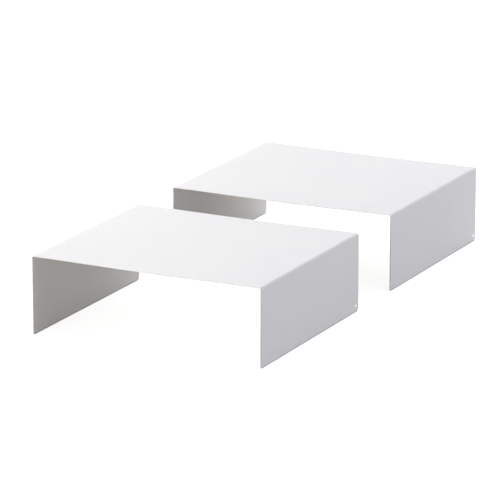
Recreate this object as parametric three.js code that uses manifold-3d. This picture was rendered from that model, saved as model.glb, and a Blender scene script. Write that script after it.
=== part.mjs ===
// A set of two equal shelf risers, each one rectangle of sheet steel folded down along its left and
// right sides, so that the sides are the legs. Millimetres, +Z up, +Y to the rear, both risers
// standing on z = 0. The origin is on the floor, midway between the front and the rear riser.

import * as THREE from "three";
import { mergeVertices } from "three/addons/utils/BufferGeometryUtils.js";
import Module from "manifold-3d";

// Driving dimensions of one riser, outside to outside
const WIDTH = 310;
const DEPTH = 270;
const HEIGHT = 100;
const SHEET = 1.2; // coated thickness of the steel
const FOLD_RADIUS = 2.5; // outside of each fold
const FRONT_CORNER_RADIUS = 3; // lower corners of the side panels
const REAR_CORNER_RADIUS = 4.5;
const HOLE_DIAMETER = 4.5; // hang hole, in the right-hand panel only
const HOLE_FROM_REAR = 5.5;
const HOLE_HEIGHT = 8;

// How the set stands: one riser behind the other, with this much shelf between them
const GAP = 95;

// Facets of round shapes
const ARC_STEPS = 8;
const HOLE_STEPS = 32;

const COATING = { color: 0xf1f1ef, roughness: 0.55, metalness: 0 };

const wasm = await Module();
wasm.setup();

// A closed three.js geometry as a manifold-3d solid
function solidOf(geometry) {
  geometry.deleteAttribute("normal");
  geometry.deleteAttribute("uv");
  const merged = mergeVertices(geometry, 1e-4);
  const mesh = new wasm.Mesh({
    numProp: 3,
    vertProperties: merged.getAttribute("position").array,
    triVerts: new Uint32Array(merged.getIndex().array),
  });
  return new wasm.Manifold(mesh);
}

// A manifold-3d solid as a three.js geometry with flat-shaded faces
function geometryOf(solid) {
  const mesh = solid.getMesh();
  const shared = new THREE.BufferGeometry();
  shared.setAttribute("position", new THREE.BufferAttribute(mesh.vertProperties, 3));
  shared.setIndex(new THREE.BufferAttribute(mesh.triVerts, 1));
  const faceted = shared.toNonIndexed();
  faceted.computeVertexNormals();
  return faceted;
}

// The folded section, looking along the depth: x is across the riser and y is up
function foldedSection() {
  const outer = WIDTH / 2;
  const inner = outer - SHEET;
  const foldX = outer - FOLD_RADIUS;
  const foldY = HEIGHT - FOLD_RADIUS;
  const insideRadius = FOLD_RADIUS - SHEET;
  const section = new THREE.Shape();
  section.moveTo(inner, 0);
  section.lineTo(outer, 0);
  section.absarc(foldX, foldY, FOLD_RADIUS, 0, Math.PI / 2, false);
  section.absarc(-foldX, foldY, FOLD_RADIUS, Math.PI / 2, Math.PI, false);
  section.lineTo(-outer, 0);
  section.lineTo(-inner, 0);
  section.absarc(-foldX, foldY, insideRadius, Math.PI, Math.PI / 2, true);
  section.absarc(foldX, foldY, insideRadius, Math.PI / 2, 0, true);
  section.closePath();
  return section;
}

// The side view of the riser: x runs to the rear and y is up, with rounded lower corners
function sideOutline() {
  const half = DEPTH / 2;
  const frontX = FRONT_CORNER_RADIUS - half;
  const rearX = half - REAR_CORNER_RADIUS;
  const outline = new THREE.Shape();
  outline.moveTo(frontX, 0);
  outline.absarc(rearX, REAR_CORNER_RADIUS, REAR_CORNER_RADIUS, -Math.PI / 2, 0, false);
  outline.lineTo(half, HEIGHT + SHEET);
  outline.lineTo(-half, HEIGHT + SHEET);
  outline.absarc(frontX, FRONT_CORNER_RADIUS, FRONT_CORNER_RADIUS, Math.PI, 1.5 * Math.PI, false);
  outline.closePath();
  return outline;
}

// The sheet folded along its whole depth, a little longer than it needs to be at each end
function foldedSheet() {
  const length = DEPTH + 2 * SHEET;
  const geometry = new THREE.ExtrudeGeometry(foldedSection(), {
    depth: length,
    bevelEnabled: false,
    curveSegments: ARC_STEPS,
  });
  geometry.rotateX(Math.PI / 2);
  geometry.translate(0, length / 2, 0);
  return solidOf(geometry);
}

// A block as wide as the riser that trims the sheet to its depth and rounds its lower corners
function cornerTrim() {
  const width = WIDTH + 2 * SHEET;
  const geometry = new THREE.ExtrudeGeometry(sideOutline(), {
    depth: width,
    bevelEnabled: false,
    curveSegments: ARC_STEPS,
  });
  const toRear = new THREE.Vector3(0, 1, 0);
  const up = new THREE.Vector3(0, 0, 1);
  const across = new THREE.Vector3(1, 0, 0);
  geometry.applyMatrix4(new THREE.Matrix4().makeBasis(toRear, up, across));
  geometry.translate(-width / 2, 0, 0);
  return solidOf(geometry);
}

// The drill for the hang hole, through the right-hand panel near its lower rear corner
function hangHoleDrill() {
  const radius = HOLE_DIAMETER / 2;
  const geometry = new THREE.CylinderGeometry(radius, radius, 4 * SHEET, HOLE_STEPS);
  geometry.rotateZ(Math.PI / 2);
  geometry.translate(WIDTH / 2 - SHEET / 2, DEPTH / 2 - HOLE_FROM_REAR, HOLE_HEIGHT);
  return solidOf(geometry);
}

// One riser, centred on its own width and depth
function makeRiser(name) {
  const sheet = foldedSheet().intersect(cornerTrim()).subtract(hangHoleDrill());
  const riser = new THREE.Mesh(geometryOf(sheet), new THREE.MeshStandardMaterial(COATING));
  riser.name = name;
  return riser;
}

const frontRiser = makeRiser("front_riser_sheet");
frontRiser.position.y = -(DEPTH + GAP) / 2;

const rearRiser = makeRiser("rear_riser_sheet");
rearRiser.position.y = (DEPTH + GAP) / 2;

const shelfRisers = new THREE.Group();
shelfRisers.add(frontRiser, rearRiser);

export default shelfRisers;
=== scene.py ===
"""A set of two equal shelf risers in matte white coated sheet steel, one behind the other.

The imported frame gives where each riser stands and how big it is. Here each riser's sheet is made
again with a fine surface: the flat blank is meshed with rounded edges and a rimmed hang hole, and
then folded down at both sides. Metres, +Z up, +Y to the rear.
"""

import math

import bmesh
import bpy
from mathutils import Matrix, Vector


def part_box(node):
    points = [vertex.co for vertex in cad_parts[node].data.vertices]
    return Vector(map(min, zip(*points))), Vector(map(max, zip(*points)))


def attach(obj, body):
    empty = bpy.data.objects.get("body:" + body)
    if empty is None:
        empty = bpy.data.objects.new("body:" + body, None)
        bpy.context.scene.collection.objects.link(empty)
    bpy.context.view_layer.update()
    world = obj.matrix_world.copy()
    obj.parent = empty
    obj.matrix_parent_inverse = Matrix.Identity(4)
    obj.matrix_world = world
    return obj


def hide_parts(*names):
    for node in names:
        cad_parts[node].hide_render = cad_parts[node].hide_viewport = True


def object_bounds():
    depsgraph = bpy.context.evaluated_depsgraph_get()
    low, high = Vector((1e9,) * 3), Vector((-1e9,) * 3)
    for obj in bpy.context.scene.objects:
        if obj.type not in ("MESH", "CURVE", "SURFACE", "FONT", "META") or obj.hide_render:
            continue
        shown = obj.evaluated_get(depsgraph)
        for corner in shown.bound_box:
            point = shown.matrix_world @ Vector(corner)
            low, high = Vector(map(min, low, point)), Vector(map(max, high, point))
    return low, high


MM = 0.001

# The sheet, as the CAD model has it
SHEET = 1.2 * MM
FOLD_RADIUS = 2.5 * MM  # outside of each fold
FRONT_CORNER_RADIUS = 3 * MM  # lower corners of the side panels
REAR_CORNER_RADIUS = 4.5 * MM
HOLE_RADIUS = 2.25 * MM
HOLE_FROM_REAR = 5.5 * MM
HOLE_HEIGHT = 8 * MM

# The coated surface
EDGE_RADIUS = 0.45 * MM  # the coating rounds every cut edge
SUPPORT = 0.5 * MM  # flat margin between an edge's rounding and the rest of the face
SAG = 0.9 * MM  # how far the middle of the top dips between the folds

# Mesh steps
EDGE_STEPS = 4
FOLD_STEPS = 12
CORNER_STEPS = 8
HOLE_PATCH = 3.5 * MM  # half the side of the square patch round the hole
HOLE_PATCH_STEPS = 8  # cells along each side of that patch
TOP_COLUMNS = 12  # from the middle of the top to each fold
SIDE_COLUMNS = 8
ROWS = 24
SAME_LINE = 0.02 * MM  # columns or rows closer together than this are one

NODE_BODIES = {"front_riser_sheet": "front_riser", "rear_riser_sheet": "rear_riser"}
EDGE_LAYER = "edge_highlight_to_shade"  # from -1 where a painted highlight lies on the top's cut edges to 1 where painted shade lies on the panels' cut edges

# Colours
WHITE = (1, 1, 1, 1)
BLACK = (0, 0, 0, 1)
COAT_COOL = (0.855, 0.858, 0.862, 1)
COAT_WARM = (0.873, 0.872, 0.868, 1)
# painted highlight on the top's cut edges, lighter than the coat
EDGE_HIGHLIGHT_COLOR = (0.95, 0.95, 0.945, 1)
# painted shade on the panels' cut edges
EDGE_SHADE_COLOR = (0.44, 0.44, 0.44, 1)
# painted contact shade along the bottom edges
FOOT_SHADE_COLOR = (0.44, 0.44, 0.435, 1)
HOLE_SHADE_SHARE = 0.15  # how much of the panels' painted edge shade the hole's rim gets
EDGE_PAINT_FULL_AT = 0.6  # how square to the cut an edge's rounding is where the painted edge highlight and shade reach full strength
FOOT_SHADE_HEIGHT = 1.8 * MM  # height of the painted contact shade along the bottom edges
FLOOR_COLOR = (0.5, 0.5, 0.5, 1)
BOUNCE_COLOR = (0.82, 0.785, 0.75, 1)

# Texture of the coat: the size of each pattern's features, and how deep they go
CLOUD_CELL = 90 * MM
PATCH_CELL = 6 * MM
PEEL_CELL = 1.6 * MM
PEEL_DEPTH = 0.08 * MM
GRAIN_CELL = 0.35 * MM
GRAIN_DEPTH = 0.06 * MM
MIDDLE = (0.35, 0.65)  # the noise values between which a pattern changes
BROAD = (0.3, 0.7)
LEAST_EDGE_SHADE = 0.6  # the least share of the painted edge shade that a patch of an edge keeps
# the least share of the painted contact shade that a patch of the bottom line keeps
LEAST_FOOT_SHADE = 0.5
ROUGHNESS = (0.46, 0.58)
COAT_IOR = 1.5

# Stage, lights and camera
STAGE_RADIUS = 20
STAGE_SEGMENTS = 96
FLOOR_GLOW = 0.8  # near the risers, where their soft shadows show
NEAR_FLOOR = 0.5
FAR_FLOOR = 1.5  # from here out the floor is as white as the backdrop
LIGHT_AIM = 0.05  # height that the lights are aimed at
BOUNCE_DROP = 0.2 * MM  # keeps the floor that is seen clear of the one that light bounces off
NEUTRAL = (1, 1, 1)
WARM = (1, 0.975, 0.94)
COOL = (0.85, 0.875, 1)
LIGHTS = (
    # name, azimuth, elevation, distance, width, height, power, color
    ("overhead_rear", 180, 55, 3.5, 3.5, 2.0, 44, NEUTRAL),
    ("left_rear", 230, 22, 4.0, 3.0, 2.4, 94, WARM),
    ("rear", 180, 22, 4.0, 4.0, 2.4, 32, NEUTRAL),
    ("right_rear", 130, 22, 4.0, 3.0, 2.4, 25, COOL),
    ("right", 90, 55, 3.5, 3.5, 2.0, 40, COOL),
    ("front_right", 30, 20, 4.0, 3.0, 2.4, 18, WARM),
    ("front_low", 340, 12, 3.0, 3.0, 1.0, 52, WARM),
)
CAMERA_AZIMUTH = 26.7
CAMERA_ELEVATION = 15.7
CAMERA_DISTANCE = 4.753
CAMERA_AIM = Vector((-0.0195, 0, -0.0056))  # from the middle of the CAD box
CAMERA_LENS = 269.4
CAMERA_SENSOR = 36


def steps(start, stop, count):
    """count equal steps from start to stop, with both ends."""
    return [start + (stop - start) * i / count for i in range(count + 1)]


def in_order(values):
    """The values in rising order, each once."""
    kept = []
    for value in sorted(values):
        if not kept or value - kept[-1] > SAME_LINE:
            kept.append(value)
    return kept


def edge_profile():
    """Pairs (inset, w) round a cut edge, from its outside face to its inside face."""
    straight = SHEET / 2 - EDGE_RADIUS
    outside = []
    for turn in steps(0, math.pi / 2, EDGE_STEPS):
        inset = EDGE_RADIUS * (1 - math.sin(turn))
        outside.append((inset, straight + EDGE_RADIUS * math.cos(turn)))
    inside = [(inset, -w) for inset, w in reversed(outside)]
    return outside + inside


class Blank:
    """The flat rectangle of sheet that one riser is folded from.

    s runs across the blank through both folds, y from front to rear, and w through the thickness,
    from -SHEET / 2 on the inside to SHEET / 2 on the outside.
    """

    def __init__(self, low, high):
        self.center = (low + high) / 2
        self.mid_radius = FOLD_RADIUS - SHEET / 2
        self.fold_x = (high.x - low.x) / 2 - FOLD_RADIUS
        self.fold_z = high.z - FOLD_RADIUS
        self.fold_end = self.fold_x + self.mid_radius * math.pi / 2
        self.half_length = self.fold_end + self.fold_z - low.z
        self.half_depth = (high.y - low.y) / 2
        self.hole_s = self.half_length - HOLE_HEIGHT
        self.hole_y = self.half_depth - HOLE_FROM_REAR
        # The grid of faces stops short of the cut edges, where the rounding begins
        self.margin = EDGE_RADIUS + SUPPORT
        self.grid_s = self.half_length - self.margin
        self.grid_y = self.half_depth - self.margin
        self.front_corner = FRONT_CORNER_RADIUS - self.margin
        self.rear_corner = REAR_CORNER_RADIUS - self.margin

    def folded(self, s, y, w):
        """Where the point (s, y, w) of the blank is on the folded riser."""
        side = math.copysign(1, s)
        s = abs(s)
        turn = min(max((s - self.fold_x) / self.mid_radius, 0), math.pi / 2)
        radius = self.mid_radius + w
        x = min(s, self.fold_x) + radius * math.sin(turn)
        z = self.fold_z + radius * math.cos(turn) - max(s - self.fold_end, 0)
        dip = SAG * (1 - min(s / self.fold_x, 1) ** 2) ** 2
        return Vector((self.center.x + side * x, self.center.y + y, z - dip))

    def edge_light_sign(self, s):
        """-1 on the top, whose cut edges get a painted highlight, rising to 1 on the panels, whose cut
        edges get painted shade.
        """
        past = (abs(s) - self.fold_x) / (self.fold_end - self.fold_x)
        return 2 * min(max(past, 0), 1) - 1

    def columns(self):
        """The s of each column of the grid, from the left edge to the right edge."""
        half = steps(0, self.fold_x, TOP_COLUMNS)
        half.append(self.fold_x - SUPPORT)
        half += steps(self.fold_x, self.fold_end, FOLD_STEPS)
        half.append(self.fold_end + SUPPORT)
        half += steps(self.fold_end, self.hole_s - HOLE_PATCH, SIDE_COLUMNS)
        half += steps(self.hole_s - HOLE_PATCH, self.hole_s + HOLE_PATCH, HOLE_PATCH_STEPS)
        for corner in (self.front_corner, self.rear_corner):
            for turn in steps(0, math.pi / 2, CORNER_STEPS):
                half.append(self.grid_s - corner * (1 - math.sin(turn)))
        return in_order(half + [-s for s in half])

    def rows(self):
        """The y of each row of the grid, where the blank has its full depth."""
        patch = steps(self.hole_y - HOLE_PATCH, self.hole_y + HOLE_PATCH, HOLE_PATCH_STEPS)
        return in_order(steps(-self.grid_y, self.grid_y, ROWS) + patch)

    def corner_at(self, y):
        """The radius of the grid's corners in the half of the blank that y is in."""
        return self.front_corner if y < 0 else self.rear_corner

    def grid_point(self, s, row):
        """(s, y) of a grid vertex: the rows draw together where a corner is rounded."""
        corner = self.corner_at(row)
        past = max(abs(s) - (self.grid_s - corner), 0)
        lost = corner - math.sqrt(max(corner**2 - past**2, 0))
        return s, row * (self.grid_y - lost) / self.grid_y

    def outward(self, s, y):
        """The direction out of the blank at the grid's boundary point (s, y)."""
        corner = self.corner_at(y)
        past_s = abs(s) - (self.grid_s - corner)
        past_y = abs(y) - (self.grid_y - corner)
        if past_s <= 0:
            return 0, math.copysign(1, y)
        if past_y <= 0:
            return math.copysign(1, s), 0
        length = math.hypot(past_s, past_y)
        return math.copysign(past_s / length, s), math.copysign(past_y / length, y)


def around(first_i, last_i, first_j, last_j):
    """The grid's vertices round a block of cells, each as (column, row)."""
    return (
        [(i, first_j) for i in range(first_i, last_i)]
        + [(last_i, j) for j in range(first_j, last_j)]
        + [(i, last_j) for i in range(last_i, first_i, -1)]
        + [(first_i, j) for j in range(last_j, first_j, -1)]
    )


def nearest(values, wanted):
    """The index of the value nearest to the wanted one."""
    return min(range(len(values)), key=lambda i: abs(values[i] - wanted))


class SheetMesh:
    """Builds one riser's folded sheet: two faces, the rounded outer edge and the rimmed hole."""

    def __init__(self, blank):
        self.blank = blank
        self.columns = blank.columns()
        self.rows = blank.rows()
        self.mesh = bmesh.new()
        self.edge_layer = self.mesh.verts.layers.float.new(EDGE_LAYER)
        self.outline = around(0, len(self.columns) - 1, 0, len(self.rows) - 1)
        self.patch = (
            nearest(self.columns, blank.hole_s - HOLE_PATCH),
            nearest(self.columns, blank.hole_s + HOLE_PATCH),
            nearest(self.rows, blank.hole_y - HOLE_PATCH),
            nearest(self.rows, blank.hole_y + HOLE_PATCH),
        )

    def vertex(self, s, y, w, edge_highlight_to_shade=0.0):
        """A vertex at (s, y, w) of the blank, with its share of the painted edge highlight (below 0) and
        painted edge shade (above 0), as EDGE_LAYER has it.
        """
        vertex = self.mesh.verts.new(self.blank.folded(s, y, w))
        vertex[self.edge_layer] = edge_highlight_to_shade
        return vertex

    def face_grid(self, w):
        """One face of the sheet, with a square opening where the hole goes."""
        first_i, last_i, first_j, last_j = self.patch
        grid = {}
        for i, s in enumerate(self.columns):
            for j, row in enumerate(self.rows):
                if not (first_i < i < last_i and first_j < j < last_j):
                    grid[i, j] = self.vertex(*self.blank.grid_point(s, row), w)
        for i in range(len(self.columns) - 1):
            for j in range(len(self.rows) - 1):
                if not (first_i <= i < last_i and first_j <= j < last_j):
                    corners = (i, j), (i + 1, j), (i + 1, j + 1), (i, j + 1)
                    self.mesh.faces.new([grid[corner] for corner in corners])
        return grid

    def outer_loop(self, inset, w, cut_edge):
        """A loop of vertices at a distance inside the blank's cut outline."""
        loop = []
        reach = self.blank.margin - inset
        for i, j in self.outline:
            s, y = self.blank.grid_point(self.columns[i], self.rows[j])
            out_s, out_y = self.blank.outward(s, y)
            edge_highlight_to_shade = cut_edge * self.blank.edge_light_sign(s)
            loop.append(self.vertex(s + out_s * reach, y + out_y * reach, w, edge_highlight_to_shade))
        return loop

    def hole_loop(self, inset, w, edge_highlight_to_shade):
        """A loop of vertices at a distance outside the hole's wall."""
        loop = []
        center_s, center_y = self.blank.hole_s, self.blank.hole_y
        for i, j in around(*self.patch):
            angle = math.atan2(self.rows[j] - center_y, self.columns[i] - center_s)
            s = center_s + (HOLE_RADIUS + inset) * math.cos(angle)
            y = center_y + (HOLE_RADIUS + inset) * math.sin(angle)
            loop.append(self.vertex(s, y, w, edge_highlight_to_shade))
        return loop

    def stitch(self, loops):
        """Joins each loop of vertices to the next with a band of faces."""
        for one, other in zip(loops, loops[1:]):
            for k in range(len(one)):
                self.mesh.faces.new((one[k - 1], one[k], other[k], other[k - 1]))

    def build(self):
        """Makes the whole sheet and returns its bmesh."""
        outside = self.face_grid(SHEET / 2)
        inside = self.face_grid(-SHEET / 2)
        margin = self.blank.margin
        outer = [[outside[ij] for ij in self.outline]]
        hole = [[outside[ij] for ij in around(*self.patch)]]
        hole.append(self.hole_loop(margin, SHEET / 2, 0.0))
        for inset, w in edge_profile():
            cut_edge = 1 - inset / EDGE_RADIUS
            outer.append(self.outer_loop(inset, w, cut_edge))
            hole.append(self.hole_loop(inset, w, cut_edge * HOLE_SHADE_SHARE))
        hole.append(self.hole_loop(margin, -SHEET / 2, 0.0))
        hole.append([inside[ij] for ij in around(*self.patch)])
        outer.append([inside[ij] for ij in self.outline])
        self.stitch(outer)
        self.stitch(hole)
        bmesh.ops.recalc_face_normals(self.mesh, faces=self.mesh.faces)
        for face in self.mesh.faces:
            face.smooth = True
        return self.mesh


def make_riser_sheet(name, node):
    """The fine version of one riser, where the CAD model has it."""
    built = SheetMesh(Blank(*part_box(node))).build()
    mesh = bpy.data.meshes.new(name)
    built.to_mesh(mesh)
    built.free()
    sheet = bpy.data.objects.new(name, mesh)
    bpy.context.scene.collection.objects.link(sheet)
    return sheet


# Materials


class Shading:
    """A node material: its shader, and short ways to add the nodes that feed it."""

    def __init__(self, name):
        self.material = bpy.data.materials.new(name)
        self.material.use_nodes = True
        self.tree = self.material.node_tree
        self.shader = self.tree.nodes["Principled BSDF"]
        self.position = self.node("ShaderNodeTexCoord").outputs["Object"]

    def node(self, kind, **inputs):
        """A node whose inputs are numbers, colours or the sockets that they come from."""
        node = self.tree.nodes.new(kind)
        for name, value in inputs.items():
            self.feed(node.inputs[name.replace("_", " ")], value)
        return node

    def feed(self, socket, value):
        """Links the value to the socket if it is a socket itself, and sets it otherwise."""
        if isinstance(value, bpy.types.NodeSocket):
            self.tree.links.new(value, socket)
        else:
            socket.default_value = value

    def noise(self, cell, detail):
        """Noise from 0 to 1 with features of about this size in metres."""
        inputs = dict(Vector=self.position, Scale=1 / cell, Detail=detail)
        return self.node("ShaderNodeTexNoise", **inputs).outputs["Fac"]

    def spread(self, value, start, stop, low, high):
        """The value, drawn from start..stop out to low..high and held at the ends."""
        inputs = dict(From_Min=start, From_Max=stop, To_Min=low, To_Max=high)
        return self.node("ShaderNodeMapRange", Value=value, **inputs).outputs["Result"]

    def blend(self, amount, first, second):
        """From the first colour to the second as the amount goes from 0 to 1."""
        node = self.node("ShaderNodeMixRGB", Fac=amount, Color1=first, Color2=second)
        return node.outputs["Color"]

    def times(self, first, second):
        """The product of two numbers or sockets."""
        node = self.node("ShaderNodeMath")
        node.operation = "MULTIPLY"
        self.feed(node.inputs[0], first)
        self.feed(node.inputs[1], second)
        return node.outputs["Value"]

    def bump(self, height, distance, normal=None):
        """The normal of a surface raised by the height, on top of another bump if one is given."""
        inputs = dict(Height=height, Distance=distance)
        if normal:
            inputs["Normal"] = normal
        return self.node("ShaderNodeBump", **inputs).outputs["Normal"]


def powder_coat():
    """Matte white powder coat, with a painted highlight on the top's cut edges, patchy painted shade on
    the panels' cut edges and the hole's rim, and patchy painted contact shade along the bottom edges.
    """
    coat = Shading("powder_coat")
    clouds = coat.noise(CLOUD_CELL, detail=3)
    patches = coat.noise(PATCH_CELL, detail=3)
    peel = coat.noise(PEEL_CELL, detail=1)
    grain = coat.noise(GRAIN_CELL, detail=2)

    color = coat.blend(coat.spread(clouds, *MIDDLE, 0, 1), COAT_COOL, COAT_WARM)
    attribute = coat.node("ShaderNodeAttribute")
    attribute.attribute_name = EDGE_LAYER
    edge = attribute.outputs["Fac"]
    # painted shade on the panels' cut edges and the hole's rim, patchy along them
    shade_side = coat.spread(edge, 0, EDGE_PAINT_FULL_AT, 0, 1)
    # painted highlight on the top's cut edges
    edge_highlight = coat.spread(edge, -EDGE_PAINT_FULL_AT, 0, 1, 0)
    color = coat.blend(edge_highlight, color, EDGE_HIGHLIGHT_COLOR)
    edge_shade = coat.times(shade_side, coat.spread(patches, *BROAD, LEAST_EDGE_SHADE, 1))
    color = coat.blend(edge_shade, color, EDGE_SHADE_COLOR)
    height = coat.node("ShaderNodeSeparateXYZ", Vector=coat.position).outputs["Z"]
    # painted contact shade along the bottom edges, patchy along them
    foot = coat.spread(height, FOOT_SHADE_HEIGHT / 2, FOOT_SHADE_HEIGHT, 1, 0)
    foot_shade = coat.times(foot, coat.spread(patches, *MIDDLE, LEAST_FOOT_SHADE, 1))
    color = coat.blend(foot_shade, color, FOOT_SHADE_COLOR)
    coat.feed(coat.shader.inputs["Base Color"], color)

    coat.feed(coat.shader.inputs["Roughness"], coat.spread(grain, *BROAD, *ROUGHNESS))
    coat.shader.inputs["IOR"].default_value = COAT_IOR
    normal = coat.bump(grain, GRAIN_DEPTH, coat.bump(peel, PEEL_DEPTH))
    coat.feed(coat.shader.inputs["Normal"], normal)
    return coat.material


def plain(name, color, glow):
    """The shading of a plain matte surface that also glows by this much."""
    matte = Shading(name)
    matte.feed(matte.shader.inputs["Base Color"], color)
    matte.shader.inputs["Roughness"].default_value = 1
    matte.shader.inputs["Specular IOR Level"].default_value = 0
    matte.shader.inputs["Emission Color"].default_value = WHITE
    matte.shader.inputs["Emission Strength"].default_value = glow
    return matte


def pale_floor():
    """White far away, and a little less near the risers, so that their shadows show."""
    floor = plain("floor", FLOOR_COLOR, FLOOR_GLOW)
    far = floor.node("ShaderNodeVectorMath")
    far.operation = "LENGTH"
    floor.feed(far.inputs[0], floor.position)
    glow = floor.spread(far.outputs["Value"], NEAR_FLOOR, FAR_FLOOR, FLOOR_GLOW, 1)
    floor.feed(floor.shader.inputs["Emission Strength"], glow)
    return floor


# Stage, lights and camera


def stage_object(name, build, surface, seen_by):
    """A piece of the stage that only these kinds of ray meet."""
    shape = bmesh.new()
    build(shape)
    mesh = bpy.data.meshes.new(name)
    shape.to_mesh(mesh)
    shape.free()
    mesh.materials.append(surface.material)
    made = bpy.data.objects.new(name, mesh)
    bpy.context.scene.collection.objects.link(made)
    for ray in ("camera", "diffuse", "glossy", "transmission", "volume_scatter", "shadow"):
        setattr(made, "visible_" + ray, ray in seen_by)
    return made


def disc(shape):
    """Adds a flat disc as wide as the stage."""
    bmesh.ops.create_circle(shape, cap_ends=True, radius=STAGE_RADIUS, segments=STAGE_SEGMENTS)


def dome(shape):
    """Adds a ball as wide as the stage, which shows above the floor as a dome."""
    segments = dict(u_segments=STAGE_SEGMENTS, v_segments=STAGE_SEGMENTS // 2)
    bmesh.ops.create_uvsphere(shape, radius=STAGE_RADIUS, **segments)


def make_stage():
    """A white floor and backdrop that only the camera sees, and a floor that light bounces off."""
    stage_object("floor", disc, pale_floor(), ("camera",))
    bounced = ("diffuse", "glossy", "shadow")
    bounce = stage_object("floor_bounce", disc, plain("floor_bounce", BOUNCE_COLOR, 0), bounced)
    bounce.location.z = -BOUNCE_DROP
    stage_object("backdrop", dome, plain("backdrop", BLACK, 1), ("camera",))


def make_light(name, azimuth, elevation, distance, width, height, power, color):
    """A soft box aimed at the risers; the azimuth is the camera's kind, 0 in front."""
    data = bpy.data.lights.new(name, "AREA")
    data.shape = "RECTANGLE"
    data.size = width
    data.size_y = height
    data.energy = power
    data.color = color
    light = bpy.data.objects.new(name, data)
    bpy.context.scene.collection.objects.link(light)
    light.visible_camera = False
    place(light, azimuth, elevation, distance, Vector((0, 0, LIGHT_AIM)))


def place(thing, azimuth, elevation, distance, target):
    """Puts a light or camera at this angle and distance from the target, looking at it."""
    a = math.radians(azimuth)
    e = math.radians(elevation)
    back = Vector((math.sin(a) * math.cos(e), -math.cos(a) * math.cos(e), math.sin(e)))
    thing.location = target + back * distance
    thing.rotation_mode = "QUATERNION"
    thing.rotation_quaternion = (-back).to_track_quat("-Z", "Y")


def make_camera(target):
    """The scene's camera, a long lens far from the risers."""
    data = bpy.data.cameras.new("camera")
    data.sensor_width = CAMERA_SENSOR
    data.lens = CAMERA_LENS
    data.clip_end = 4 * STAGE_RADIUS
    camera = bpy.data.objects.new("camera", data)
    bpy.context.scene.collection.objects.link(camera)
    bpy.context.scene.camera = camera
    place(camera, CAMERA_AZIMUTH, CAMERA_ELEVATION, CAMERA_DISTANCE, target)


def make_risers():
    """Each riser's fine sheet, which rides on the CAD body and stands for its node."""
    coat = powder_coat()
    for node, body in NODE_BODIES.items():
        sheet = make_riser_sheet(body + "_folded_sheet", node)
        sheet.data.materials.append(coat)
        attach(sheet, body)
        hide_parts(node)


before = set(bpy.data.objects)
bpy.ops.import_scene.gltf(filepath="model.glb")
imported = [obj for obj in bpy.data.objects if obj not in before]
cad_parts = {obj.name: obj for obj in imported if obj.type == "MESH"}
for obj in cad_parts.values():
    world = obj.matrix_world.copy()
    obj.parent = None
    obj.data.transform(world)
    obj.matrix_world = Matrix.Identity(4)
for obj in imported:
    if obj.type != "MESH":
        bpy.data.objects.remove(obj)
cad_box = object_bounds()
middle = (cad_box[0] + cad_box[1]) / 2

make_camera(middle + CAMERA_AIM)
make_risers()
make_stage()
for light in LIGHTS:
    make_light(*light)
bpy.context.scene.view_settings.view_transform = "Standard"
